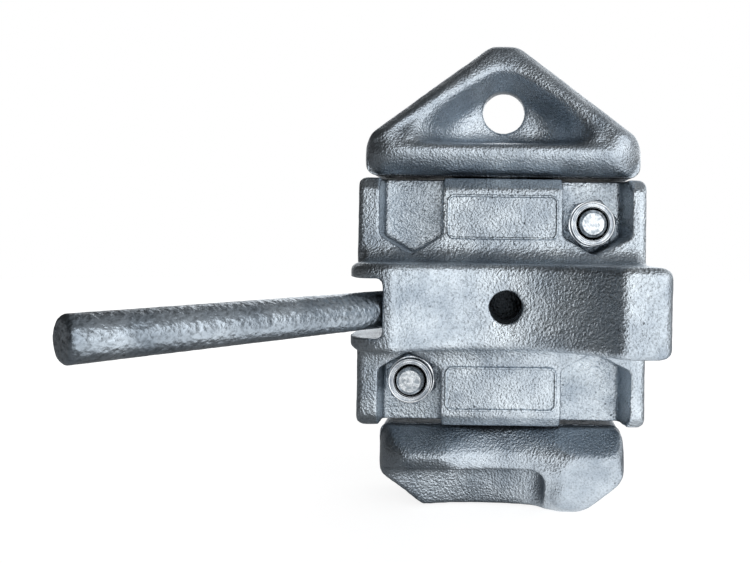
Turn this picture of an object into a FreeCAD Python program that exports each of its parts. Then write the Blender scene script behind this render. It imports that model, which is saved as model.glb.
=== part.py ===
import FreeCAD, Part
import math
import os

from FreeCAD import Rotation, Vector

# Container twistlock, millimetres, +Z up.
# The origin is on the spindle axis, in the plane of the flange's lower seat.
# X runs along the collars and the unlocked cones, and the handle swings on the -X side.

# Flange
flange_thickness = 30.0
flange_left = 52.0            # axis to the side with the handle slot
flange_right = 55.0
right_ear_depth = 66.0        # axis to the front or rear end of the right ears
left_ear_depth = 58.0
waist_depth = 46.0            # axis to the hollow in the middle of the front and rear
waist_radius = 51.0
waist_offset = -2.0           # axis to the middle of the hollow
right_ear_radius = 4.5
left_ear_radius = 16.0
right_ear_rounding = 4.4      # top and bottom edges of the right side
left_ear_rounding = 2.5
waist_corner_radius = 4.0
flange_rim_chamfer = 1.8
inspection_hole_radius = 5.4
inspection_hole_offset = 1.5

# Collars, one above and one below the flange
collar_height = 31.0
collar_half_length = 53.2
collar_half_width = 28.0
collar_lead_chamfer = 4.5     # along the long edges that enter the casting first
collar_lead_radius = 1.5
collar_end_radius = 3.0
collar_root_radius = 7.0      # hollow between a collar's long side and the flange
collar_root_length = 100.0

# Label fields on the collars: a low raised border round a bare field
label_length = 41.0
label_height = 16.6
label_border = 0.9
label_relief = 0.6
label_radius = 3.0
label_offset = 16.3           # flange to the middle of the field

# Clamping screws, nuts and their pockets
screw_inset = 19.8            # collar end to the screws' axis
screw_offset = 14.4           # flange to the screws' axis
screw_radius = 5.0
screw_length = 38.5
screw_tip_chamfer = 1.0
screw_hole_clearance = 0.5
head_radius = 8.0
head_height = 10.0
socket_across_flats = 8.0
socket_depth = 5.0
nut_across_flats = 17.0
nut_hex_height = 6.6
nut_height = 10.4
nut_dome_radius = 8.3
nut_dome_chamfer = 0.9
nut_hex_chamfer = 30.0        # degrees that the hexagon's corners fall away
nut_bore_clearance = 0.05
nut_lip_radius = 6.1          # opening of the lip that is rolled over the insert
nut_lip_height = 1.2
upper_nut_turn = 18.0         # degrees from corner up, as tightened
lower_nut_turn = -10.0
insert_height = 2.6
insert_radius = 6.8
pocket_floor = 13.5           # parting plane to the floor of each pocket
pocket_half_width = 11.2
pocket_side_draft = 2.6       # how far the outer wall of a right pocket leans out
pocket_tip_gap = 1.6          # nut corner to the point of the V, so that the nut can turn
pocket_corner_radius = 1.6

# Spindle
shaft_radius = 19.0
bearing_clearance = 0.08
bearing_land = 12.0           # length of each bearing at the collars' ends
bearing_relief = 1.2
boss_radius = 23.0
boss_flat = 21.0              # axis to the two flats that the leaf spring holds
boss_height = 18.4
boss_side_clearance = 0.5
boss_end_clearance = 0.3
upper_cone_gap = 0.6          # collar end to cone
lower_cone_gap = 1.6
shaft_overlap = 1.0           # how far the shaft runs into each cone

# Upper cone
upper_cone_height = 52.5
upper_cone_inset = 0.5        # collar end to cone end
upper_cone_half_width = 28.0
upper_apex_half_length = 5.8
upper_apex_half_width = 10.0
upper_bar_height = 13.0       # up to the line where the ends begin to slope
upper_ridge_height = 12.5     # up to the line where the front begins to slope
upper_corner_radius = 14.5    # upright corners
upper_foot_radius = 5.5
upper_shoulder_radius = 11.0  # where the ends begin to slope
upper_ridge_radius = 7.5
upper_apex_radius = 8.5
upper_rim_bevel = 2.0         # taken off the rims between the slopes
lifting_hole_radius = 8.0
lifting_hole_height = 27.0
web_thickness = 7.0
dish_floor_half_length = 28.0
dish_floor_base = 14.5
dish_mouth_half_length = 47.0
dish_mouth_base = 12.0
dish_peak_half_length = 3.0
dish_radius = 3.5

# Lower cone
lower_cone_height = 32.4
lower_cone_inset = 6.7        # collar end to cone end
lower_cone_half_width = 28.0
lower_nose_half_length = 30.0
lower_nose_half_width = 15.0
lower_top_half_width = 22.5
lower_bar_height = 17.5
lower_ridge_height = 9.0
lower_nose_radius = 4.0
lower_rim_radius = 1.5
lower_end_radius = 9.0
lower_ridge_radius = 5.0
lower_lead_corner_radius = 18.0   # the two upright corners that turn into the lock first
lower_trail_corner_radius = 7.0
lower_waist_depth = 22.5      # axis to the shallow hollow in the front and rear
lower_waist_radius = 62.0
lower_waist_offset = 3.0
scoop_height = 17.5
scoop_end = 16.5              # how far the scoop passes the axis
scoop_floor = 8.0             # axis to the middle of the scoop's hollow floor
scoop_floor_radius = 85.0
scoop_floor_offset = -8.0
scoop_radius = 5.5

# Handle
handle_radius = 6.35
handle_reach = 162.5
handle_angle = 50.0           # unlocked handle, from -X towards the front
handle_swing = 90.0
handle_droop = 0.8            # degrees that the bar hangs below level
handle_root_radius = 6.0
handle_root_start = 5.0
handle_shoulder = 21.5
handle_seat_clearance = 0.3
handle_end_chamfer = 1.0
thread_clearance = 0.05
slot_stop_gap = 0.35
pin_radius = 2.0
pin_wall = 0.7
pin_slit = 0.8
pin_distance = 13.5

# Detent spring and dowels
spring_thickness = 1.6
spring_height = 14.0
spring_half_length = 35.0
spring_seat = 5.0
spring_gap = 0.1
spring_seat_clearance = 0.1
spring_room = 3.0
dowel_radius = 4.0
dowel_length = 17.0
dowel_end_gap = 0.5

# Worked out from the values above
middle = flange_thickness / 2
slot_height = boss_height + 2 * boss_end_clearance
upper_cone_half_length = collar_half_length - upper_cone_inset
lower_cone_half_length = collar_half_length - lower_cone_inset
screw_x = collar_half_length - screw_inset
collar_top = flange_thickness + collar_height
collar_bottom = -collar_height
upper_screw_z = flange_thickness + screw_offset
lower_screw_z = -screw_offset
nut_corner_radius = nut_across_flats / math.sqrt(3)
handle_direction = Vector(
    -math.cos(math.radians(handle_angle)), -math.sin(math.radians(handle_angle)), 0
)
overrun = 20.0                # how far a cut passes the face it opens


def rounded_face(corners):
    # A flat face in XY from corners (x, y, radius)
    points = [Vector(x, y, 0) for x, y, radius in corners]
    starts, arcs, ends = [], [], []
    for i, (x, y, radius) in enumerate(corners):
        corner = points[i]
        back = (points[i - 1] - corner).normalize()
        ahead = (points[(i + 1) % len(points)] - corner).normalize()
        half = back.getAngle(ahead) / 2
        reach = radius / math.tan(half)
        start, end = corner + back * reach, corner + ahead * reach
        starts.append(start)
        ends.append(end)
        if radius:
            inward = (back + ahead).normalize()
            bulge = corner + inward * (radius / math.sin(half) - radius)
            arcs.append(Part.Arc(start, bulge, end).toShape())
        else:
            arcs.append(None)
    edges = []
    for i, arc in enumerate(arcs):
        if arc:
            edges.append(arc)
        edges.append(Part.makeLine(ends[i], starts[(i + 1) % len(starts)]))
    return Part.Face(Part.Wire(edges))


def mirrored(corners):
    # Corners of one side, completed by their mirror image across x = 0
    return corners + [(-x, y, radius) for x, y, radius in reversed(corners)]


def plan_prism(corners, low, high):
    face = rounded_face(corners)
    face.translate(Vector(0, 0, low))
    return face.extrude(Vector(0, 0, high - low))


def front_prism(corners, low, high):
    # Corners are (x, z, radius), and the prism runs along Y
    face = rounded_face(corners)
    face.rotate(Vector(0, 0, 0), Vector(1, 0, 0), 90)
    face.translate(Vector(0, low, 0))
    return face.extrude(Vector(0, high - low, 0))


def side_prism(corners, low, high):
    # Corners are (y, z, radius), and the prism runs along X
    face = rounded_face(corners)
    face.rotate(Vector(0, 0, 0), Vector(1, 1, 1), 120)
    face.translate(Vector(low, 0, 0))
    return face.extrude(Vector(high - low, 0, 0))


def box(x, y, z):
    # A box from three pairs of limits
    size = [high - low for low, high in (x, y, z)]
    return Part.makeBox(*size, Vector(x[0], y[0], z[0]))


def post(radius, low, high):
    return Part.makeCylinder(radius, high - low, Vector(0, 0, low))


def rod_along_y(radius, x, z, low, high):
    return Part.makeCylinder(radius, high - low, Vector(x, low, z), Vector(0, 1, 0))


def hexagon_along_y(across_flats, x, z, low, high):
    # One corner points up
    radius = across_flats / math.sqrt(3)
    angles = [math.radians(90 + 60 * i) for i in range(6)]
    corners = [(x + radius * math.cos(a), z + radius * math.sin(a), 0) for a in angles]
    return front_prism(corners, low, high)


def along_handle(shape, droop=handle_droop):
    # Turns a shape made along +X onto the handle's line through the flange's middle
    turned = shape.copy()
    turned.rotate(Vector(0, 0, 0), Vector(0, 1, 0), droop)
    turned.rotate(Vector(0, 0, 0), Vector(0, 0, 1), 180 + handle_angle)
    turned.translate(Vector(0, 0, middle))
    return turned


def rod_along_x(radius, low, high):
    return Part.makeCylinder(radius, high - low, Vector(low, 0, 0), Vector(1, 0, 0))


def edges_at(shape, x, y):
    # Upright edges that stand at (x, y), within a hundredth of a millimetre
    found = []
    for edge in shape.Edges:
        places = [vertex.Point for vertex in edge.Vertexes]
        if all(abs(p.x - x) < 0.01 and abs(p.y - y) < 0.01 for p in places):
            found.append(edge)
    return found


def edges_in_plane(shape, z):
    return [e for e in shape.Edges if abs(e.BoundBox.ZMin - z) + abs(e.BoundBox.ZMax - z) < 0.01]


def flange():
    front = [
        (-flange_left, -left_ear_depth, left_ear_radius),
        (0, -left_ear_depth, 0),
        (0, -right_ear_depth, 0),
        (flange_right, -right_ear_depth, right_ear_radius),
    ]
    rear = [(x, -y, radius) for x, y, radius in reversed(front)]
    body = plan_prism(front + rear, 0, flange_thickness)
    waist_centre = waist_depth + waist_radius
    for side in (-1, 1):
        hollow = post(waist_radius, 0, flange_thickness)
        hollow.translate(Vector(waist_offset, side * waist_centre, 0))
        body = body.cut(hollow)
    corners = []
    for side in (-1, 1):
        for end, depth in ((1, right_ear_depth), (-1, left_ear_depth)):
            half_chord = math.sqrt(waist_radius**2 - (waist_centre - depth) ** 2)
            corners += edges_at(body, waist_offset + end * half_chord, side * depth)
    body = body.makeFillet(waist_corner_radius, corners)
    rims = edges_in_plane(body, 0) + edges_in_plane(body, flange_thickness)
    body = body.makeChamfer(flange_rim_chamfer, rims)
    rounded_sides = [
        (-flange_left, 0, left_ear_rounding),
        (flange_right, 0, right_ear_rounding),
        (flange_right, flange_thickness, right_ear_rounding),
        (-flange_left, flange_thickness, left_ear_rounding),
    ]
    return body.common(front_prism(rounded_sides, -right_ear_depth, right_ear_depth))


def collar():
    # The upper collar, with its root in the flange
    low = flange_thickness - flange_rim_chamfer
    plan = mirrored([
        (collar_half_length, -collar_half_width, collar_end_radius),
        (collar_half_length, collar_half_width, collar_end_radius),
    ])
    shoulder = collar_half_width - collar_lead_chamfer
    side = mirrored([
        (collar_half_width, low, 0),
        (collar_half_width, collar_top - collar_lead_chamfer, collar_lead_radius),
        (shoulder, collar_top, collar_lead_radius),
    ])
    front = mirrored([
        (collar_half_length, low, 0),
        (collar_half_length, collar_top, collar_end_radius),
    ])
    length, width = collar_half_length, collar_half_width
    body = plan_prism(plan, low, collar_top)
    body = body.common(side_prism(side, -length, length))
    return body.common(front_prism(front, -width, width))


def collar_root():
    # Hollow fillets along both long sides of the upper collar
    low = flange_thickness - flange_rim_chamfer
    reach = collar_half_width + collar_root_radius
    half = collar_root_length / 2
    top = flange_thickness + collar_root_radius
    body = box((-half, half), (-reach, reach), (low, top))
    for side in (-1, 1):
        start = Vector(-half, side * reach, top)
        body = body.cut(Part.makeCylinder(collar_root_radius, 2 * half, start, Vector(1, 0, 0)))
    return body


def label_border_ring(z):
    # Raised border on the front of a collar
    def plate(margin):
        half_length, half_height = label_length / 2 - margin, label_height / 2 - margin
        corners = mirrored([
            (half_length, z - half_height, label_radius - margin),
            (half_length, z + half_height, label_radius - margin),
        ])
        low, high = -collar_half_width - label_relief, label_relief - collar_half_width
        return front_prism(corners, low, high)

    return plate(0).cut(plate(label_border))


def screw_pocket(side_x, side_y):
    # Upper pocket: its V holds the nut or clears the screw head, and it opens at the collar's end
    centre = side_x * screw_x
    tip = upper_screw_z - nut_corner_radius - pocket_tip_gap
    rise = pocket_half_width * math.tan(math.radians(30))
    open_end = collar_top + overrun
    draft = pocket_side_draft if side_x > 0 else 0

    def outline(depth, lean):
        inner = centre - side_x * pocket_half_width
        outer = centre + side_x * (pocket_half_width + lean)
        corners = [
            (inner, open_end, 0),
            (inner, tip + rise, pocket_corner_radius),
            (centre, tip, 0),
            (outer, tip + rise, pocket_corner_radius),
            (outer, open_end, 0),
        ]
        wire = rounded_face(corners).OuterWire
        wire.rotate(Vector(0, 0, 0), Vector(1, 0, 0), 90)
        wire.translate(Vector(0, side_y * depth, 0))
        return wire

    mouth = collar_half_width + collar_root_radius
    per_depth = draft / (collar_half_width - pocket_floor)
    wires = [outline(pocket_floor, 0), outline(mouth, per_depth * (mouth - pocket_floor))]
    return Part.makeLoft(wires, True, True)


def turned_over(shape):
    # The same shape on the other side of the flange's middle plane
    return shape.mirror(Vector(0, 0, middle), Vector(0, 0, 1))


def handle_slot():
    # Everything the handle passes through, from unlocked to locked
    half_height = slot_height / 2
    half_width = handle_radius + slot_stop_gap
    reach = flange_left + flange_right
    wedge = Part.makeCylinder(
        reach, slot_height, Vector(0, 0, -half_height), Vector(0, 0, 1), handle_swing
    )
    wedge.rotate(Vector(0, 0, 0), Vector(0, 0, 1), -handle_swing)
    lane = box((0, reach), (-half_width, half_width), (-half_height, half_height))
    locked_lane = lane.copy()
    locked_lane.rotate(Vector(0, 0, 0), Vector(0, 0, 1), -handle_swing)
    return along_handle(wedge.fuse([lane, locked_lane]), 0)


def spring_space():
    # Room behind the leaf spring, and the two seats that hold its ends
    near = boss_flat + spring_gap
    room = box(
        (0, near + spring_thickness + spring_room),
        (spring_seat - spring_half_length, spring_half_length - spring_seat),
        (middle - slot_height / 2, middle + slot_height / 2),
    )
    half_length = spring_half_length + spring_seat_clearance
    half_height = spring_height / 2 + spring_seat_clearance
    seats = box(
        (near - spring_seat_clearance, near + spring_thickness + spring_seat_clearance),
        (-half_length, half_length),
        (middle - half_height, middle + half_height),
    )
    return room.fuse(seats)


def bearing_bores():
    running = shaft_radius + bearing_clearance
    bore = post(running, collar_bottom, collar_top)
    relief = post(running + bearing_relief, collar_bottom + bearing_land, collar_top - bearing_land)
    chamber = post(
        boss_radius + boss_side_clearance, middle - slot_height / 2, middle + slot_height / 2
    )
    return bore.fuse([relief, chamber])


def screw_places():
    return ((screw_x, upper_screw_z), (-screw_x, lower_screw_z))


def dowel_places():
    return ((-screw_x, upper_screw_z), (screw_x, lower_screw_z))


def housing():
    # Both halves as one body, before it is parted
    border = label_border_ring(flange_thickness + label_offset)
    upper = collar().fuse([collar_root(), border])
    body = flange().fuse([upper, turned_over(upper)])
    cuts = [bearing_bores(), handle_slot(), spring_space()]
    for side_x in (-1, 1):
        for side_y in (-1, 1):
            pocket = screw_pocket(side_x, side_y)
            cuts += [pocket, turned_over(pocket)]
    hole_radius = screw_radius + screw_hole_clearance
    for x, z in screw_places():
        cuts.append(rod_along_y(hole_radius, x, z, -collar_half_width, collar_half_width))
    half_dowel = dowel_length / 2 + dowel_end_gap
    for x, z in dowel_places():
        cuts.append(rod_along_y(dowel_radius, x, z, -half_dowel, half_dowel))
    cuts.append(rod_along_y(
        inspection_hole_radius, inspection_hole_offset, middle, -right_ear_depth, 0
    ))
    return body.cut(cuts)


def housing_half(whole, side):
    reach = right_ear_depth + overrun
    low, high = sorted((0, side * reach))
    half = box((-reach, reach), (low, high), (collar_bottom - overrun, collar_top + overrun))
    return whole.common(half).removeSplitter()


def upper_cone():
    low = collar_top + upper_cone_gap
    top = low + upper_cone_height
    length, width = upper_cone_half_length, upper_cone_half_width
    front = mirrored([
        (length, low, upper_foot_radius),
        (length, low + upper_bar_height, upper_shoulder_radius),
        (upper_apex_half_length, top, upper_apex_radius),
    ])
    side = mirrored([
        (width, low, upper_foot_radius),
        (width, low + upper_ridge_height, upper_ridge_radius),
        (upper_apex_half_width, top, upper_ridge_radius),
    ])
    plan = mirrored([(length, -width, upper_corner_radius), (length, width, upper_corner_radius)])
    body = front_prism(front, -width, width).common(side_prism(side, -length, length))
    body = body.common(plan_prism(plan, low, top))
    hole = rod_along_y(lifting_hole_radius, 0, low + lifting_hole_height, -width, width)
    dish = cone_dish(low)
    return body.cut(rim_bevels(low, top) + [dish, half_turned(dish), hole])


def rim_bevels(low, top):
    # Cuts that ease the four rims between the end slopes and the front and rear slopes
    end_rise = upper_cone_height - upper_bar_height
    end_run = upper_cone_half_length - upper_apex_half_length
    side_rise = upper_cone_height - upper_ridge_height
    side_run = upper_cone_half_width - upper_apex_half_width
    cuts = []
    for side_x in (-1, 1):
        for side_y in (-1, 1):
            end_slope = Vector(side_x * end_rise, 0, end_run).normalize()
            side_slope = Vector(0, side_y * side_rise, side_run).normalize()
            outward = (end_slope + side_slope).normalize()
            corner = Vector(side_x * upper_apex_half_length, side_y * upper_apex_half_width, top)
            start = corner - outward * upper_rim_bevel
            cuts.append(Part.makeCylinder(2 * collar_half_length, overrun, start, outward))
    return cuts


def cone_dish(low):
    # Triangular hollow in the front round the lifting hole, wider at its mouth. Its rims follow
    # the cone's ends.
    rise = upper_cone_height - upper_bar_height
    slope = rise / (upper_cone_half_length - upper_apex_half_length)

    def outline(depth, half_length, base):
        peak = low + base + slope * (half_length - dish_peak_half_length)
        left = Vector(-half_length, -depth, low + base)
        left_peak = Vector(-dish_peak_half_length, -depth, peak)
        right_peak = Vector(dish_peak_half_length, -depth, peak)
        right = Vector(half_length, -depth, low + base)
        return [left, left_peak, right_peak, right]

    floor = outline(web_thickness / 2, dish_floor_half_length, dish_floor_base)
    mouth = outline(upper_cone_half_width, dish_mouth_half_length, dish_mouth_base)
    dish = between(floor, mouth)
    inner = [e for e in dish.Edges if min(abs(v.Y) for v in e.Vertexes) < web_thickness]
    return dish.makeFillet(dish_radius, inner)


def between(near, far):
    # Flat-sided solid between two outlines whose sides run parallel
    rings = [near, far]
    for i in range(len(near)):
        rings.append([near[i - 1], near[i], far[i], far[i - 1]])
    faces = [Part.Face(Part.makePolygon(ring + ring[:1])) for ring in rings]
    return Part.Solid(Part.Shell(faces))


def lower_cone():
    high = collar_bottom - lower_cone_gap
    tip = high - lower_cone_height
    length, width = lower_cone_half_length, lower_cone_half_width
    front = mirrored([
        (lower_nose_half_length, tip, lower_nose_radius),
        (length, high - lower_bar_height, lower_end_radius),
        (length, high, lower_nose_radius),
    ])
    side = mirrored([
        (lower_nose_half_width, tip, lower_nose_radius),
        (width, high - lower_ridge_height, lower_ridge_radius),
        (lower_top_half_width, high, lower_rim_radius),
    ])
    plan = [
        (-length, -width, lower_lead_corner_radius),
        (length, -width, lower_trail_corner_radius),
        (length, width, lower_lead_corner_radius),
        (-length, width, lower_trail_corner_radius),
    ]
    body = front_prism(front, -width, width).common(side_prism(side, -length, length))
    body = body.common(plan_prism(plan, tip, high))
    hollow = post(lower_waist_radius, tip, high)
    hollow.translate(Vector(lower_waist_offset, -lower_waist_depth - lower_waist_radius, 0))
    scoop = cone_scoop(tip)
    return body.cut([hollow, half_turned(hollow), scoop, half_turned(scoop)])


def cone_scoop(tip):
    # Hollow along the lower part of the front, open at the end that leads into the lock
    high = tip + scoop_height
    scoop = post(scoop_floor_radius, tip - overrun, high)
    scoop.translate(Vector(scoop_floor_offset, -scoop_floor - scoop_floor_radius, 0))
    reach = 3 * scoop_floor_radius
    scoop = scoop.common(box((-reach, scoop_end), (-reach, 0), (tip - overrun, high)))
    inner_edges = []
    for edge in scoop.Edges:
        limits = edge.BoundBox
        upright = limits.XLength < 0.01 and limits.YLength < 0.01
        if limits.YMax > -2 * scoop_floor - scoop_radius and (upright or limits.ZMin > high - 0.01):
            inner_edges.append(edge)
    return scoop.makeFillet(scoop_radius, inner_edges)


def half_turned(shape):
    # The same shape half a turn round the spindle axis
    turned = shape.copy()
    turned.rotate(Vector(0, 0, 0), Vector(0, 0, 1), 180)
    return turned


def spindle():
    low = collar_bottom - lower_cone_gap - shaft_overlap
    high = collar_top + upper_cone_gap + shaft_overlap
    shaft = post(shaft_radius, low, high)
    boss = post(boss_radius, middle - boss_height / 2, middle + boss_height / 2)
    for angle in (0, 90):
        reach = (boss_flat, boss_radius + overrun)
        flat = box(reach, (-boss_radius, boss_radius), (0, flange_thickness))
        flat.rotate(Vector(0, 0, 0), Vector(0, 0, 1), angle)
        boss = boss.cut(flat)
    body = shaft.fuse([boss, upper_cone(), lower_cone()])
    tapped = rod_along_x(handle_root_radius + thread_clearance, handle_root_start, boss_radius)
    seat = rod_along_x(handle_radius + handle_seat_clearance, handle_shoulder, boss_radius + overrun)
    body = body.cut([along_handle(tapped), along_handle(seat), pin_hole()])
    return body.removeSplitter()


def pin_hole():
    place = handle_direction * pin_distance
    hole = post(pin_radius, middle - boss_height / 2, middle + boss_height / 2)
    hole.translate(place)
    return hole


def handle_bar():
    root = rod_along_x(handle_root_radius, handle_root_start, handle_shoulder)
    bar = rod_along_x(handle_radius, handle_shoulder, handle_reach)
    end = [e for e in bar.Edges if abs(e.BoundBox.XMin - handle_reach) < 0.01]
    bar = bar.makeChamfer(handle_end_chamfer, end)
    return along_handle(root.fuse(bar)).cut(pin_hole())


def handle_spring_pin():
    half = boss_height / 2
    tube = post(pin_radius, middle - half, middle + half)
    tube = tube.cut(post(pin_radius - pin_wall, middle - half, middle + half))
    slit = box((0, 2 * pin_radius), (-pin_slit / 2, pin_slit / 2), (0, flange_thickness))
    tube = tube.cut(slit)
    tube.translate(handle_direction * pin_distance)
    return tube


def cap_screw(x, z):
    # The head bears on the rear pocket's floor, and the tip stands through the nut
    seat = pocket_floor
    shank = rod_along_y(screw_radius, x, z, seat - screw_length, seat)
    tip = [e for e in shank.Edges if abs(e.BoundBox.YMax - (seat - screw_length)) < 0.01]
    shank = shank.makeChamfer(screw_tip_chamfer, tip)
    head = rod_along_y(head_radius, x, z, seat, seat + head_height)
    top = [e for e in head.Edges if abs(e.BoundBox.YMin - (seat + head_height)) < 0.01]
    head = head.makeChamfer(screw_tip_chamfer, top)
    outer = seat + head_height
    socket = hexagon_along_y(socket_across_flats, x, z, outer - socket_depth, outer)
    return shank.fuse(head).cut(socket).removeSplitter()


def lock_nut(x, z, turn):
    # Hexagon against the front pocket's floor, round dome outside it
    seat = -pocket_floor
    shoulder = seat - nut_hex_height
    front = seat - nut_height
    body = hexagon_along_y(nut_across_flats, x, z, shoulder, seat)
    body.rotate(Vector(x, 0, z), Vector(0, 1, 0), turn)
    flat = nut_across_flats / 2
    spread = nut_hex_height / math.tan(math.radians(nut_hex_chamfer))
    place = Vector(x, shoulder, z)
    guard = Part.makeCone(flat, flat + spread, nut_hex_height, place, Vector(0, 1, 0))
    dome = rod_along_y(nut_dome_radius, x, z, front, seat)
    outer = [e for e in dome.Edges if abs(e.BoundBox.YMax - front) < 0.01]
    body = body.common(guard).fuse(dome.makeChamfer(nut_dome_chamfer, outer))
    bore = rod_along_y(screw_radius + nut_bore_clearance, x, z, front, seat)
    opening = rod_along_y(nut_lip_radius, x, z, front, front + nut_lip_height)
    return body.cut([bore, opening, nut_groove(x, z)]).removeSplitter()


def nut_groove(x, z):
    # Space behind the lip that holds the nylon ring
    outer = -pocket_floor - nut_height + nut_lip_height
    return rod_along_y(insert_radius, x, z, outer, outer + insert_height)


def nut_insert(x, z):
    bore = rod_along_y(screw_radius + nut_bore_clearance, x, z, -pocket_floor - nut_height, 0)
    return nut_groove(x, z).cut(bore)


def dowel_pin(x, z):
    return rod_along_y(dowel_radius, x, z, -dowel_length / 2, dowel_length / 2)


def detent_leaf_spring():
    near = boss_flat + spring_gap
    return box(
        (near, near + spring_thickness),
        (-spring_half_length, spring_half_length),
        (middle - spring_height / 2, middle + spring_height / 2),
    )


def main():
    whole = housing()
    (upper_screw, lower_screw) = screw_places()
    (upper_dowel, lower_dowel) = dowel_places()
    parts = {
        "front_housing_half": housing_half(whole, -1),
        "rear_housing_half": housing_half(whole, 1),
        "spindle": spindle(),
        "handle_bar": handle_bar(),
        "handle_spring_pin": handle_spring_pin(),
        "upper_cap_screw": cap_screw(*upper_screw),
        "lower_cap_screw": cap_screw(*lower_screw),
        "upper_lock_nut": lock_nut(*upper_screw, upper_nut_turn),
        "lower_lock_nut": lock_nut(*lower_screw, lower_nut_turn),
        "upper_nut_insert": nut_insert(*upper_screw),
        "lower_nut_insert": nut_insert(*lower_screw),
        "upper_dowel_pin": dowel_pin(*upper_dowel),
        "lower_dowel_pin": dowel_pin(*lower_dowel),
        "detent_leaf_spring": detent_leaf_spring(),
    }
    os.makedirs("parts", exist_ok=True)
    for name, shape in parts.items():
        shape.exportStep("parts/" + name + ".step")
        print(name, len(shape.Solids), shape.isValid(), round(shape.Volume), shape.BoundBox)


main()
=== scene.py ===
import bmesh
import bpy
import math
from mathutils import Matrix, Vector
from mathutils.bvhtree import BVHTree


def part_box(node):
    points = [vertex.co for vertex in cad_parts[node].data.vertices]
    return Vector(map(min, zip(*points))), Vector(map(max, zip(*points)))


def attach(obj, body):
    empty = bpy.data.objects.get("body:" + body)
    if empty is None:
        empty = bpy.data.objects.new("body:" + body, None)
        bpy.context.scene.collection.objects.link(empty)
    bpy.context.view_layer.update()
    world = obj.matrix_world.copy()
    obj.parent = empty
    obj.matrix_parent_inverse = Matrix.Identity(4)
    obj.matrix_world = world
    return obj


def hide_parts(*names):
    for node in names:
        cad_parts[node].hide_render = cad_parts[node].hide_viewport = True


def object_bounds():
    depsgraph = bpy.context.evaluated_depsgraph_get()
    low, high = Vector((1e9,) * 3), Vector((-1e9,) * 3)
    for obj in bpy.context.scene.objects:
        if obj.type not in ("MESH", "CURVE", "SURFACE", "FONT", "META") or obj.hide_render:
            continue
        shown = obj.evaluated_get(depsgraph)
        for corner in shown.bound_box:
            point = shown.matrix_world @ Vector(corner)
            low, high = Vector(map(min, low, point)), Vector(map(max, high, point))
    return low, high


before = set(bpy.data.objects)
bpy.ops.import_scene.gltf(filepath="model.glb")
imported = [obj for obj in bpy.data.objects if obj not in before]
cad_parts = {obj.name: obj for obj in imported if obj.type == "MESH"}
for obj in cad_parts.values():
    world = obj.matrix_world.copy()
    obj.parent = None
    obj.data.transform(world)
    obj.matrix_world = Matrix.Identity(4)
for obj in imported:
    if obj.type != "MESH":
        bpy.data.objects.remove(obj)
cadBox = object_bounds()
print("frame loaded")

housing = "housing"
turning = "spindle_and_handle"
mm = 0.001


def srgb(text):
    # hex sRGB to the linear colour that a shader socket takes
    channels = [int(text[i:i + 2], 16) / 255 for i in (1, 3, 5)]
    linear = [c / 12.92 if c <= 0.04045 else ((c + 0.055) / 1.055) ** 2.4 for c in channels]
    return (*linear, 1.0)


def addNode(tree, kind, inputs=None, **settings):
    # one shader node, with its settings, and its sockets either linked or set
    node = tree.nodes.new(kind)
    for key, value in settings.items():
        setattr(node, key, value)
    for key, value in (inputs or {}).items():
        if isinstance(value, bpy.types.NodeSocket):
            tree.links.new(value, node.inputs[key])
        else:
            node.inputs[key].default_value = value
    return node


def ramp(tree, factor, stops):
    # a colour ramp from (position, linear colour or grey) stops
    node = addNode(tree, "ShaderNodeValToRGB", {"Fac": factor})
    elements = node.color_ramp.elements
    while len(elements) < len(stops):
        elements.new(0.5)
    for element, (position, value) in zip(elements, stops):
        element.position = position
        element.color = value if isinstance(value, tuple) else (value, value, value, 1)
    return node.outputs["Color"]


def sums(tree, operation, first, second):
    return addNode(tree, "ShaderNodeMath", {0: first, 1: second}, operation=operation).outputs[0]


def noise(tree, place, sizeMm, detail=2.0, roughness=0.55):
    # cloudy noise whose features are about sizeMm across on the real part
    scale = 1 / (sizeMm * mm)
    values = {"Vector": place, "Scale": scale, "Detail": detail, "Roughness": roughness}
    return addNode(tree, "ShaderNodeTexNoise", values).outputs["Fac"]


def tinted(tree, colour, shade):
    # the colour multiplied by a grey
    values = {"Factor": 1.0, "A": colour, "B": shade}
    node = addNode(tree, "ShaderNodeMix", values, data_type="RGBA", blend_type="MULTIPLY")
    return node.outputs["Result"]


def newMaterial(name):
    material = bpy.data.materials.new(name)
    material.use_nodes = True
    tree = material.node_tree
    tree.nodes.clear()
    shader = addNode(tree, "ShaderNodeBsdfPrincipled")
    addNode(tree, "ShaderNodeOutputMaterial", {"Surface": shader.outputs[0]})
    place = addNode(tree, "ShaderNodeTexCoord").outputs["Object"]
    return material, tree, shader, place


def roughByPatch(tree, patches, look, shader):
    # bare metal that is smoother where its patches are cleaner
    rough = addNode(
        tree, "ShaderNodeMapRange",
        {"Value": patches, "From Min": 0.3, "From Max": 0.7,
         "To Min": look["roughHigh"], "To Max": look["roughLow"]}
    )
    tree.links.new(rough.outputs["Result"], shader.inputs["Roughness"])
    shader.inputs["Metallic"].default_value = 1.0


def raised(tree, relief, depthMm, shader):
    values = {"Height": relief, "Distance": depthMm * mm, "Strength": 1.0}
    bump = addNode(tree, "ShaderNodeBump", values)
    tree.links.new(bump.outputs["Normal"], shader.inputs["Normal"])


def paintedBandShade(tree, place, look):
    # painted shade: dark between two heights, and unchanged beyond them
    low, high = look["shadedHeights"]
    height = addNode(tree, "ShaderNodeSeparateXYZ", {"Vector": place}).outputs["Z"]
    offset = sums(tree, "SUBTRACT", height, (low + high) / 2 * mm)
    fromMiddle = addNode(tree, "ShaderNodeMath", {0: offset}, operation="ABSOLUTE").outputs[0]
    reach = (high - low) / 2
    return addNode(
        tree, "ShaderNodeMapRange",
        {"Value": fromMiddle, "From Min": (reach - look["shadeFadeMm"]) * mm,
         "From Max": reach * mm, "To Min": look["paintedBandShade"], "To Max": 1.0}
    ).outputs["Result"]
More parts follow.
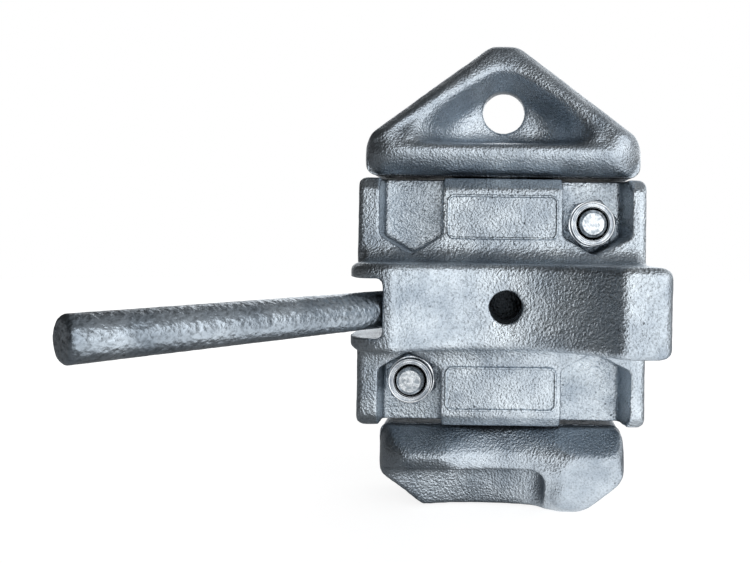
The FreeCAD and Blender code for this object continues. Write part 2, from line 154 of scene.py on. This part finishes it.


# Hot-dip galvanised steel over a sand casting: blue-grey zinc whose skin follows the grain of the
# mould, so that the light breaks into fine glints, with painted shade darkening it between the
# grains, in the hollows and in the pits, and brighter zinc where handling has rubbed the edges.
# Moulding sand is too fine to show, so its grain is drawn coarser, at 0.75 mm.
castZinc = {
    "dull": "#9ea9b4", "clean": "#cdd6dd", "patchMm": 14.0,
    "grainMm": 0.75, "grainDepthMm": 0.28, "fineMm": 0.4, "fineShare": 0.6,
    "pebbleRatio": 1.3, "pebbleShare": 0.7,
    # darker between the grains and in the hollows: painted shade; brighter on the edges: rubbed
    # wear
    "grainValleyShade": 0.68, "edge": 1.2, "hollow": 0.3,
    "roughLow": 0.26, "roughHigh": 0.4,
    # pit bottoms darker: painted shade
    "pitMm": 5.0, "pitRim": (0.04, 0.1), "paintedPitShade": 0.45, "pitShare": 0.5,
}
# The forged spindle: a finer skin under the same zinc, a little duller, and painted nearly black
# as shade where it turns in the housing
forgedZinc = dict(
    castZinc, dull="#95a0ab", clean="#c6cfd7", grainMm=0.7, grainDepthMm=0.25, grainValleyShade=0.7,
    shadedHeights=(-33.0, 62.3), paintedBandShade=0.07, shadeFadeMm=0.6
)
# The bar: the zinc ran and froze in coarse ripples
barZinc = dict(
    castZinc, dull="#7f8a95", clean="#b3bdc6", grainMm=1.3, grainDepthMm=0.26, fineMm=0.5,
    fineShare=0.25, grainValleyShade=0.6
)


def galvanised(name, look):
    material, tree, shader, place = newMaterial(name)
    patches = noise(tree, place, look["patchMm"], 3.0)
    grain = noise(tree, place, look["grainMm"], 1.5)
    fine = noise(tree, place, look["fineMm"], 1.0)
    # rounded grains like the sand of the mould, uneven in size
    aside = addNode(tree, "ShaderNodeVectorMath", {0: place, 1: (0.003, 0.001, 0.002)}).outputs[0]
    pebbleMm = look["grainMm"] * look["pebbleRatio"]
    pebbleValues = {"Vector": aside, "Scale": 1 / (pebbleMm * mm), "Smoothness": 0.7}
    pebble = addNode(tree, "ShaderNodeTexVoronoi", pebbleValues, feature="SMOOTH_F1")
    colour = ramp(tree, patches, [(0.3, srgb(look["dull"])), (0.7, srgb(look["clean"]))])
    # darker down between the grains: painted shade
    colour = tinted(tree, colour, ramp(tree, grain, [(0.3, look["grainValleyShade"]), (0.52, 1.0)]))
    # edges and hollows, from how sharply the surface bends: the hollows darkened as painted shade,
    # the edges brighter as rubbed wear
    bend = addNode(tree, "ShaderNodeNewGeometry").outputs["Pointiness"]
    stops = [(0.4, look["hollow"]), (0.485, 1.0), (0.52, 1.0), (0.57, look["edge"])]
    colour = tinted(tree, colour, ramp(tree, bend, stops))
    # scattered gas pits, their bottoms darkened as painted shade
    pitValues = {"Vector": place, "Scale": 1 / (look["pitMm"] * mm)}
    cells = addNode(tree, "ShaderNodeTexVoronoi", pitValues).outputs["Distance"]
    bottom, rim = look["pitRim"]
    pits = ramp(tree, cells, [(bottom, 0.0), (rim, 1.0)])
    colour = tinted(tree, colour, ramp(tree, cells, [(bottom, look["paintedPitShade"]), (rim, 1.0)]))
    # the band inside the housing, darkened as painted shade
    if "shadedHeights" in look:
        colour = tinted(tree, colour, paintedBandShade(tree, place, look))
    tree.links.new(colour, shader.inputs["Base Color"])
    roughByPatch(tree, patches, look, shader)
    relief = sums(tree, "ADD", grain, sums(tree, "MULTIPLY", fine, look["fineShare"]))
    pebbles = sums(tree, "MULTIPLY", pebble.outputs["Distance"], look["pebbleShare"])
    relief = sums(tree, "SUBTRACT", relief, pebbles)
    relief = sums(tree, "ADD", relief, sums(tree, "MULTIPLY", pits, look["pitShare"]))
    raised(tree, relief, look["grainDepthMm"], shader)
    return material


def machined(name, look):
    # turned, rolled or ground steel: smooth, with mottled plating and fine marks from the tool
    material, tree, shader, place = newMaterial(name)
    mottle = noise(tree, place, look["mottleMm"], 2.0)
    marks = noise(tree, place, look["markMm"], 3.0, 0.6)
    colour = ramp(tree, mottle, [(0.35, srgb(look["dark"])), (0.6, srgb(look["light"]))])
    tree.links.new(colour, shader.inputs["Base Color"])
    roughByPatch(tree, mottle, look, shader)
    relief = sums(tree, "ADD", mottle, sums(tree, "MULTIPLY", marks, look["markShare"]))
    raised(tree, relief, look["depthMm"], shader)
    return material


# Zinc-plated nuts and screws: the brightest metal on the lock, with cloudy plating. The fine
# marks are drawn coarser than a tool leaves them, at 0.4 mm, so that they show.
platedSteel = {
    "dark": "#9aa3ab", "light": "#dfe4e8", "mottleMm": 1.6, "markMm": 0.4, "markShare": 0.3,
    "depthMm": 0.09, "roughLow": 0.2, "roughHigh": 0.36,
}
# The nuts' rolled crowns are smoother than the sheared ends of the screws
rolledSteel = dict(platedSteel, dark="#c9cfd5", light="#eceff2", mottleMm=3.5, depthMm=0.02)
# Ground dowels: an even grey shine
groundSteel = dict(platedSteel, dark="#8d9297", light="#b4b8bb", mottleMm=3.0, depthMm=0.02)
# Tempered spring steel: oiled and dark
springSteel = dict(
    platedSteel, dark="#3d434a", light="#5f666e", mottleMm=4.0, depthMm=0.03,
    roughLow=0.3, roughHigh=0.45
)

# The nuts' locking rings: grey nylon with a soft moulded sheen
greyNylon = {"dark": "#67717a", "light": "#8b959d", "mottleMm": 1.1, "rough": 0.42}


def moulded(name, look):
    material, tree, shader, place = newMaterial(name)
    mottle = noise(tree, place, look["mottleMm"])
    colour = ramp(tree, mottle, [(0.3, srgb(look["dark"])), (0.7, srgb(look["light"]))])
    tree.links.new(colour, shader.inputs["Base Color"])
    shader.inputs["Roughness"].default_value = look["rough"]
    return material


castMaterial = galvanised("galvanisedSteelCasting", castZinc)
forgedMaterial = galvanised("galvanisedSteelForging", forgedZinc)
barMaterial = galvanised("galvanisedSteelBar", barZinc)
platedMaterial = machined("zincPlatedSteel", platedSteel)
rolledMaterial = machined("zincPlatedRolledSteel", rolledSteel)
hardMaterial = machined("groundHardenedSteel", groundSteel)
springMaterial = machined("temperedSpringSteel", springSteel)
nylonMaterial = moulded("mouldedNylon", greyNylon)
print("materials made")


def finished(piece, body, replaced, material):
    piece.data.materials.clear()
    piece.data.materials.append(material)
    for polygon in piece.data.polygons:
        polygon.use_smooth = True
    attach(piece, body)
    if replaced:
        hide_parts(*replaced)
    print(piece.name, len(piece.data.polygons), "faces")
    return piece


def placed(name, mesh):
    piece = bpy.data.objects.new(name, mesh)
    bpy.context.scene.collection.objects.link(piece)
    return piece


def baked(piece):
    # the piece with its modifiers' result as its mesh
    evaluated = piece.evaluated_get(bpy.context.evaluated_depsgraph_get())
    made = bpy.data.meshes.new_from_object(evaluated)
    piece.modifiers.clear()
    piece.data = made
    return piece


def softSkin(name, node, values, flatten=None, melt=None, sculpt=None):
    # a copy of the node rebuilt as an even skin, its edges eased and its faces uneven as cast;
    # sculpt gives a point's new place, and melt how far it joins in a second, deeper easing
    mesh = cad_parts[node].data.copy()
    work = bmesh.new()
    work.from_mesh(mesh)
    bmesh.ops.remove_doubles(work, verts=work.verts, dist=0.002 * mm)
    if flatten:
        flatten(work)
    work.to_mesh(mesh)
    work.free()
    piece = placed(name, mesh)
    skin = piece.modifiers.new("skin", "REMESH")
    skin.mode = "VOXEL"
    skin.voxel_size = values["skinMm"] * mm
    ease = piece.modifiers.new("ease", "SMOOTH")
    ease.factor = 0.5
    ease.iterations = values["easePasses"]
    if melt:
        baked(piece)
        group = piece.vertex_groups.new(name="melt")
        for vertex in piece.data.vertices:
            vertex.co = sculpt(vertex.co / mm) * mm
            group.add([vertex.index], melt(vertex.co / mm), "REPLACE")
        deeper = piece.modifiers.new("melt", "SMOOTH")
        deeper.factor = 0.5
        deeper.iterations = values["meltPasses"]
        deeper.vertex_group = group.name
    for label, sizeMm, depthMm in values["waves"]:
        cloud = bpy.data.textures.new(name + label, "CLOUDS")
        cloud.noise_scale = sizeMm * mm
        wave = piece.modifiers.new(label, "DISPLACE")
        wave.texture = cloud
        wave.texture_coords = "LOCAL"
        wave.strength = depthMm * mm
        wave.mid_level = 1.0
    return baked(piece)


# Label fields, bare, each inside its raised border, which wanders in width as cast ones do
labels = {
    "length": 41.0, "height": 16.6, "radius": 3.0, "bead": 1.2, "rise": 0.8, "sides": 8,
    "stepMm": 0.8, "cornerSteps": 8, "wander": 0.22, "wanderTurns": (1.7, 0.43),
    "front": 28.0, "centres": (46.3, -16.3),
}


def withoutBeads(work):
    # the borders go back into the pads, because each is a finer piece of its own
    for vertex in work.verts:
        inLength = abs(vertex.co.x) < (labels["length"] / 2 + 0.1) * mm
        outwards = -vertex.co.y / mm - labels["front"]
        if inLength and 0 < outwards < 1:
            vertex.co.y = -labels["front"] * mm


def loopEdges(vertices):
    # in a fixed order, so that every run bridges alike
    return list(dict.fromkeys(edge for vertex in vertices for edge in vertex.link_edges))


def bridgeRound(work, rings):
    # each ring of points joined to the next, and the last one to the first
    edges = [loopEdges(ring) for ring in rings]
    for first, second in zip(edges, edges[1:] + edges[:1]):
        bmesh.ops.bridge_loops(work, edges=first + second)
    bmesh.ops.recalc_face_normals(work, faces=work.faces)


def labelRoute(height):
    # points along a rounded rectangle in X and Z, evenly spaced
    inset = labels["bead"] / 2
    halfLength, halfHeight = labels["length"] / 2 - inset, labels["height"] / 2 - inset
    radius = labels["radius"] - inset
    path = []
    for signX, signZ, turn in ((1, 1, 0), (-1, 1, 90), (-1, -1, 180), (1, -1, 270)):
        for step in range(labels["cornerSteps"] + 1):
            angle = math.radians(turn + step * 90 / labels["cornerSteps"])
            x = signX * (halfLength - radius) + radius * math.cos(angle)
            z = height + signZ * (halfHeight - radius) + radius * math.sin(angle)
            path.append(Vector((x, z)) * mm)
    route = []
    for point, ahead in zip(path, path[1:] + path[:1]):
        count = max(1, round((ahead - point).length / (labels["stepMm"] * mm)))
        route += [point.lerp(ahead, k / count) for k in range(count)]
    return route


def labelBead(name, casting, height):
    # a low round bead round the field, laid on the casting's uneven face
    tree = BVHTree.FromObject(casting, bpy.context.evaluated_depsgraph_get())
    route = labelRoute(height)
    quick, slow = labels["wanderTurns"]
    work = bmesh.new()
    rings = []
    for i, point in enumerate(route):
        along = (route[(i + 1) % len(route)] - route[i - 1]).normalized()
        across = Vector((along.y, -along.x))
        hit = tree.ray_cast(Vector((point.x, -0.1, point.y)), Vector((0, 1, 0)))[0]
        wander = 1 + labels["wander"] * math.sin(i * quick) * math.sin(i * slow)
        circle = bmesh.ops.create_circle(work, segments=labels["sides"], radius=1)["verts"]
        for vertex in circle:
            side = across * vertex.co.x * labels["bead"] / 2 * mm * wander
            rise = vertex.co.y * labels["rise"] * mm * wander
            vertex.co = (point.x + side.x, hit.y - rise, point.y + side.y)
        rings.append(circle)
    bridgeRound(work, rings)
    mesh = bpy.data.meshes.new(name)
    work.to_mesh(mesh)
    work.free()
    piece = placed(name, mesh)
    ease = piece.modifiers.new("ease", "SUBSURF")
    ease.levels = ease.render_levels = 1
    return baked(piece)


# How even each skin is: its grid, how often its edges are eased, and its waves, each with a
# length and a depth
castSkin = {
    "skinMm": 0.75, "easePasses": 6, "waves": [("swell", 14.0, 0.35), ("ripple", 3.0, 0.2)],
}
forgedSkin = {
    "skinMm": 0.8, "easePasses": 20, "meltPasses": 110,
    "waves": [("swell", 18.0, 0.4), ("ripple", 3.5, 0.12)],
}
barSkin = {
    "skinMm": 0.5, "easePasses": 4, "waves": [("swell", 12.0, 0.12), ("ripple", 1.8, 0.16)],
}

castings = {}
for side in ("front", "rear"):
    node = side + "_housing_half"
    piece = softSkin(side + "HousingCasting", node, castSkin, withoutBeads)
    castings[side] = finished(piece, housing, [node], castMaterial)
for name, height in zip(("upperLabelBead", "lowerLabelBead"), labels["centres"]):
    bead = labelBead(name, castings["front"], height)
    finished(bead, housing, [], castMaterial)


# The upper cone's triangular hollow is the softest form on the forging, and runs out before the
# cone's ends. The bar under it, the ends' slopes and the lifting hole stay firmer.
hollow = {
    "base": 71.0, "halfLength": 50.0, "peak": 112.0, "sideFade": 5.0, "baseFade": 3.0,
    "holeHeight": 88.6, "holeRim": 9.0, "holeFade": 4.0,
    "ridge": 74.1, "front": 28.0, "taper": 0.45, "end": 52.7, "endTaper": 1.19,
    "runOut": (13.0, 42.0), "under": (1.5, 4.5), "inside": (3.0, 6.0), "top": (103.0, 107.0),
}
# The bar's lower edge rolls under towards the neck
foot = {"low": 60.6, "high": 70.5, "roll": (59.6, 70.5), "inner": 20.0, "depth": 4.5}
# The lower cone falls away to its neck above the ridge
shoulders = {"low": -42.5, "high": -32.0, "fall": (-42.5, -29.6), "inner": 12.0, "depth": 7.0}
# The lower cone's thick end is full down to its nose
thickEnd = {
    "high": -42.5, "inner": 9.0, "across": (17.0, 24.0), "grow": (-42.5, -59.0),
    "close": (-61.0, -65.0), "closeShare": 0.4, "fullness": 5.2,
}


def forgedMelt(point):
    if point.z < hollow["base"]:
        return 0.0
    side = hollow["halfLength"] * (hollow["peak"] - point.z) / (hollow["peak"] - hollow["base"])
    fromSide = (side - abs(point.x)) / hollow["sideFade"]
    fromBase = (point.z - hollow["base"]) / hollow["baseFade"]
    fromHole = math.hypot(point.x, point.z - hollow["holeHeight"]) - hollow["holeRim"]
    return max(0.0, min(fromSide, fromBase, fromHole / hollow["holeFade"], 1.0))


def eased(value, low, high):
    # 0 at low to 1 at high, with soft ends
    share = max(0.0, min(1.0, (value - low) / (high - low)))
    return share * share * (3 - 2 * share)


def forgedShape(point):
    side = math.copysign(1, point.y)
    if point.z > hollow["ridge"]:
        face = hollow["front"] - (point.z - hollow["ridge"]) * hollow["taper"]
        end = hollow["end"] - (point.z - hollow["ridge"]) * hollow["endTaper"]
        share = eased(face - abs(point.y), *hollow["under"])
        share *= eased(end - abs(point.x), *hollow["inside"])
        share *= eased(abs(point.x), *hollow["runOut"]) * (1 - eased(point.z, *hollow["top"]))
        point.y += side * share * (face - abs(point.y))
    if foot["low"] < point.z < foot["high"] and abs(point.y) > foot["inner"]:
        roll = foot["depth"] * (1 - eased(point.z, *foot["roll"]))
        point.y -= side * min(roll, abs(point.y) - foot["inner"])
    if shoulders["low"] < point.z < shoulders["high"] and abs(point.y) > shoulders["inner"]:
        fall = shoulders["depth"] * eased(point.z, *shoulders["fall"])
        point.y -= side * min(fall, abs(point.y) - shoulders["inner"])
    if point.z < thickEnd["high"] and abs(point.y) > thickEnd["inner"]:
        thick = eased(point.z, *thickEnd["grow"])
        thick -= thickEnd["closeShare"] * eased(point.z, *thickEnd["close"])
        thick *= eased(-side * point.x, *thickEnd["across"])
        point.y += side * thick * thickEnd["fullness"]
    return point


piece = softSkin("forgedSpindle", "spindle", forgedSkin, melt=forgedMelt, sculpt=forgedShape)
finished(piece, turning, ["spindle"], forgedMaterial)
piece = softSkin("handleBar", "handle_bar", barSkin)
finished(piece, turning, ["handle_bar"], barMaterial)
print("castings made")

# Lock nuts: a hexagon with its corners turned off, under a round crown. The crown's outer ring is
# rolled over a thin groove, and an inner lip holds the nylon ring down round the screw's end.
nuts = {
    "acrossFlats": 17.0, "hexHeight": 6.6, "seat": 13.5, "boreRadius": 5.05,
    "chamfer": 30.0, "chamferStart": 0.15, "sides": 48, "crownSteps": 64,
    "crownFoot": 3.0, "lipFoot": 9.2, "edgeRadius": 0.25, "turns": (18.0, -10.0),
    "crown": [
        (8.3, 3.0), (8.3, 9.7), (8.22, 10.1), (8.05, 10.32), (7.85, 10.38), (7.6, 10.3),
        (7.4, 10.0), (7.3, 9.6), (7.15, 9.3), (6.98, 9.25), (6.85, 9.5), (6.75, 9.85),
        (6.6, 10.05), (6.4, 10.1), (6.2, 9.95), (6.08, 9.7), (6.05, 9.2),
    ],
}


def nutRing(work, turn, shape):
    # a ring of points round the nut, from the radius and depth that shape gives at a hexagon's
    # radius
    flat = nuts["acrossFlats"] / 2
    circle = bmesh.ops.create_circle(work, segments=nuts["sides"], radius=1)["verts"]
    for vertex in circle:
        angle = math.atan2(vertex.co.y, vertex.co.x)
        toFlat = math.radians(math.degrees(angle) % 60 - 30)
        radius, depth = shape(flat / math.cos(toFlat))
        aim = Vector((math.cos(angle + turn), 0, math.sin(angle + turn)))
        vertex.co = (aim * radius - Vector((0, depth, 0))) * mm
    return circle


def lockNut(name, node, turn):
    low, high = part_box(node)
    centre = Vector(((low[0] + high[0]) / 2, -nuts["seat"] * mm, (low[2] + high[2]) / 2))
    flat, top, bore = nuts["acrossFlats"] / 2, nuts["hexHeight"], nuts["boreRadius"]
    slope, start = math.tan(math.radians(nuts["chamfer"])), nuts["chamferStart"]
    work = bmesh.new()
    # hexagon, bored through, its outer corners chamfered
    bridgeRound(work, [
        nutRing(work, turn, lambda radius: (bore, 0)),
        nutRing(work, turn, lambda radius: (radius, 0)),
        nutRing(work, turn, lambda radius: (radius, top - (radius - flat) * slope - start)),
        nutRing(work, turn, lambda radius: (min(radius, flat + start), top)),
        nutRing(work, turn, lambda radius: (bore, top)),
    ])
    # crown and lip, spun round the screw's axis
    profile = [(bore, nuts["crownFoot"])] + nuts["crown"] + [(bore, nuts["lipFoot"])]
    dots = [work.verts.new((radius * mm, -depth * mm, 0)) for radius, depth in profile]
    edges = [work.edges.new(pair) for pair in zip(dots, dots[1:] + dots[:1])]
    bmesh.ops.spin(
        work, geom=dots + edges, cent=(0, 0, 0), axis=(0, 1, 0), angle=math.radians(360),
        steps=nuts["crownSteps"], use_merge=True
    )
    bmesh.ops.remove_doubles(work, verts=work.verts, dist=0.001 * mm)
    bmesh.ops.recalc_face_normals(work, faces=work.faces)
    bmesh.ops.translate(work, verts=work.verts, vec=centre)
    mesh = bpy.data.meshes.new(name)
    work.to_mesh(mesh)
    work.free()
    piece = placed(name, mesh)
    ease = piece.modifiers.new("ease", "BEVEL")
    ease.width = nuts["edgeRadius"] * mm
    ease.segments = 2
    ease.limit_method = "ANGLE"
    ease.angle_limit = math.radians(35)
    return baked(piece)


for place, turn in zip(("upper", "lower"), nuts["turns"]):
    node = place + "_lock_nut"
    piece = lockNut(place + "LockNut", node, math.radians(90 - turn))
    finished(piece, housing, [node], rolledMaterial)
print("nuts made")

nodeLooks = {
    "handle_spring_pin": springMaterial,
    "upper_cap_screw": platedMaterial, "lower_cap_screw": platedMaterial,
    "upper_nut_insert": nylonMaterial, "lower_nut_insert": nylonMaterial,
    "upper_dowel_pin": hardMaterial, "lower_dowel_pin": hardMaterial,
    "detent_leaf_spring": springMaterial,
}
for node, material in nodeLooks.items():
    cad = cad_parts[node]
    cad.data.materials.clear()
    cad.data.materials.append(material)
print("finishes given")

# The room: a wide window to the right of the camera, a weak fill at the back, dim walls, and white
# behind the object. The white is seen, and mirrored in metal, but lights nothing else.
room = {
    "wall": 0.05, "rightWall": 0.5, "farWhite": (0.72, 0.92), "middle": 15 * mm,
    "wallTurn": (-0.6, 0.9), "floorSides": 96, "floorReach": 6, "glowReach": (0.6, 1.6),
    # the floor's sheen and dim levels are painted: a reflection of the window and shade beneath
    # the object, shown to glossy rays only
    "floorGlow": 0.86, "paintedFloorShade": 0.05, "paintedSheenLevel": 1.25, "paintedSheenLow": -46 * mm,
    "paintedSheenEdge": (0.5, 0.95), "floorGrey": 0.4, "floorGap": 0.5 * mm,
    "rightWindow": {
        "azimuth": 29.0, "elevation": 3.0, "away": 0.9, "size": (2.0, 1.2), "watts": 11.0,
    },
    "backFill": {
        "azimuth": 160.0, "elevation": 28.0, "away": 0.9, "size": (1.4, 0.7), "watts": 3.0,
    },
}


def towards(azimuth, elevation):
    # direction from the object, its azimuth counted from the camera's side to the right
    flat, up = math.radians(azimuth), math.radians(elevation)
    return Vector((math.sin(flat) * math.cos(up), -math.cos(flat) * math.cos(up), math.sin(up)))


def paleFloor(low, reach):
    work = bmesh.new()
    radius = room["floorReach"] * reach
    bmesh.ops.create_circle(work, cap_ends=True, segments=room["floorSides"], radius=radius)
    bmesh.ops.translate(work, verts=work.verts, vec=(0, 0, low.z - room["floorGap"]))
    mesh = bpy.data.meshes.new("floor")
    work.to_mesh(mesh)
    work.free()
    floor = placed("floor", mesh)
    material = bpy.data.materials.new("paleFloor")
    material.use_nodes = True
    tree = material.node_tree
    tree.nodes.clear()
    path = addNode(tree, "ShaderNodeLightPath").outputs
    # full white well away from the object, and a little less beneath it, to keep its shadow
    place = addNode(tree, "ShaderNodeTexCoord").outputs["Object"]
    away = addNode(tree, "ShaderNodeVectorMath", {0: place}, operation="LENGTH").outputs["Value"]
    near, far = room["glowReach"]
    glow = addNode(
        tree, "ShaderNodeMapRange",
        {"Value": away, "From Min": near * reach, "From Max": far * reach,
         "To Min": room["floorGlow"], "To Max": 1.0}
    ).outputs["Result"]
    seen = sums(tree, "MAXIMUM", path["Is Camera Ray"], path["Is Transmission Ray"])
    shown = sums(tree, "MULTIPLY", seen, glow)
    # painted reflection and shade: the floor glows for glossy rays only, so metal sees it bright
    # on the window's side, as a painted reflection of the window, and dim beneath the object and
    # elsewhere, as painted shade
    start = {0: place, 1: (0, 0, room["paintedSheenLow"])}
    reached = addNode(tree, "ShaderNodeVectorMath", start, operation="SUBTRACT").outputs[0]
    aim = addNode(tree, "ShaderNodeVectorMath", {0: reached}, operation="NORMALIZE").outputs[0]
    side = towards(room["rightWindow"]["azimuth"], -room["rightWindow"]["elevation"])
    facing = addNode(tree, "ShaderNodeVectorMath", {0: aim, 1: side}, operation="DOT_PRODUCT")
    dark, bright = room["paintedSheenEdge"]
    paintedSheen = addNode(
        tree, "ShaderNodeMapRange",
        {"Value": facing.outputs["Value"], "From Min": dark, "From Max": bright,
         "To Min": room["paintedFloorShade"], "To Max": room["paintedSheenLevel"]}, interpolation_type="SMOOTHSTEP"
    ).outputs["Result"]
    paintedMirror = sums(tree, "MULTIPLY", path["Is Glossy Ray"], paintedSheen)
    lit = addNode(tree, "ShaderNodeEmission", {"Strength": sums(tree, "MAXIMUM", shown, paintedMirror)})
    grey = (room["floorGrey"],) * 3 + (1,)
    matt = addNode(tree, "ShaderNodeBsdfDiffuse", {"Color": grey})
    both = addNode(tree, "ShaderNodeAddShader", {0: matt.outputs[0], 1: lit.outputs[0]})
    addNode(tree, "ShaderNodeOutputMaterial", {"Surface": both.outputs[0]})
    mesh.materials.append(material)


def studioWorld():
    world = bpy.data.worlds.new("studio")
    world.use_nodes = True
    bpy.context.scene.world = world
    tree = world.node_tree
    tree.nodes.clear()
    path = addNode(tree, "ShaderNodeLightPath").outputs
    direction = addNode(tree, "ShaderNodeTexCoord").outputs["Generated"]
    parts = addNode(tree, "ShaderNodeSeparateXYZ", {"Vector": direction}).outputs
    left, right = room["wallTurn"]
    level = addNode(
        tree, "ShaderNodeMapRange",
        {"Value": parts["X"], "From Min": left, "From Max": right,
         "To Min": room["wall"], "To Max": room["rightWall"]}, interpolation_type="SMOOTHSTEP"
    ).outputs["Result"]
    dim = addNode(tree, "ShaderNodeCombineColor", {"Red": level, "Green": level, "Blue": level})
    walls = addNode(tree, "ShaderNodeBackground", {"Color": dim.outputs[0], "Strength": 1.0})
    white = addNode(tree, "ShaderNodeBackground", {"Color": (1, 1, 1, 1), "Strength": 1.0})
    # metal shows the white behind the object, and the walls on every other side
    low, high = room["farWhite"]
    behindValues = {"Value": parts["Y"], "From Min": low, "From Max": high}
    behind = addNode(tree, "ShaderNodeMapRange", behindValues).outputs["Result"]
    seen = sums(tree, "MULTIPLY", path["Is Glossy Ray"], behind)
    seen = sums(tree, "MAXIMUM", seen, path["Is Camera Ray"])
    seen = sums(tree, "MAXIMUM", seen, path["Is Transmission Ray"])
    mix = addNode(tree, "ShaderNodeMixShader", {0: seen, 1: walls.outputs[0], 2: white.outputs[0]})
    addNode(tree, "ShaderNodeOutputWorld", {"Surface": mix.outputs[0]})


def window(name):
    # a wide soft lamp that faces the object
    values = room[name]
    away = towards(values["azimuth"], values["elevation"])
    light = bpy.data.lights.new(name, "AREA")
    light.shape = "RECTANGLE"
    light.size, light.size_y = values["size"]
    light.energy = values["watts"]
    lamp = bpy.data.objects.new(name, light)
    bpy.context.scene.collection.objects.link(lamp)
    lamp.location = Vector((0, 0, room["middle"])) + away * values["away"]
    lamp.rotation_euler = (-away).to_track_quat("-Z", "Y").to_euler()
    lamp.visible_camera = False


paleFloor(cadBox[0], (cadBox[1] - cadBox[0]).length)
studioWorld()
window("rightWindow")
window("backFill")
print("studio made")

# The camera stands square to the housing's front, a little above the flange, and leans a little,
# so that the lock isn't quite upright in its view
viewpoint = {
    "distance": 305 * mm, "height": 37.3 * mm, "lensMm": 36.58, "sensorMm": 36.0,
    "rollDegrees": 0.72, "shift": (-0.1697, -0.0527),
}
view = bpy.data.cameras.new("camera")
view.lens = viewpoint["lensMm"]
view.sensor_width = viewpoint["sensorMm"]
view.shift_x, view.shift_y = viewpoint["shift"]
camera = bpy.data.objects.new("camera", view)
bpy.context.scene.collection.objects.link(camera)
stand = Matrix.Translation((0, -viewpoint["distance"], viewpoint["height"]))
roll = Matrix.Rotation(math.radians(viewpoint["rollDegrees"]), 4, "Z")
camera.matrix_world = stand @ Matrix.Rotation(math.radians(90), 4, "X") @ roll
bpy.context.scene.camera = camera
bpy.context.scene.view_settings.view_transform = "Standard"
print("camera placed")
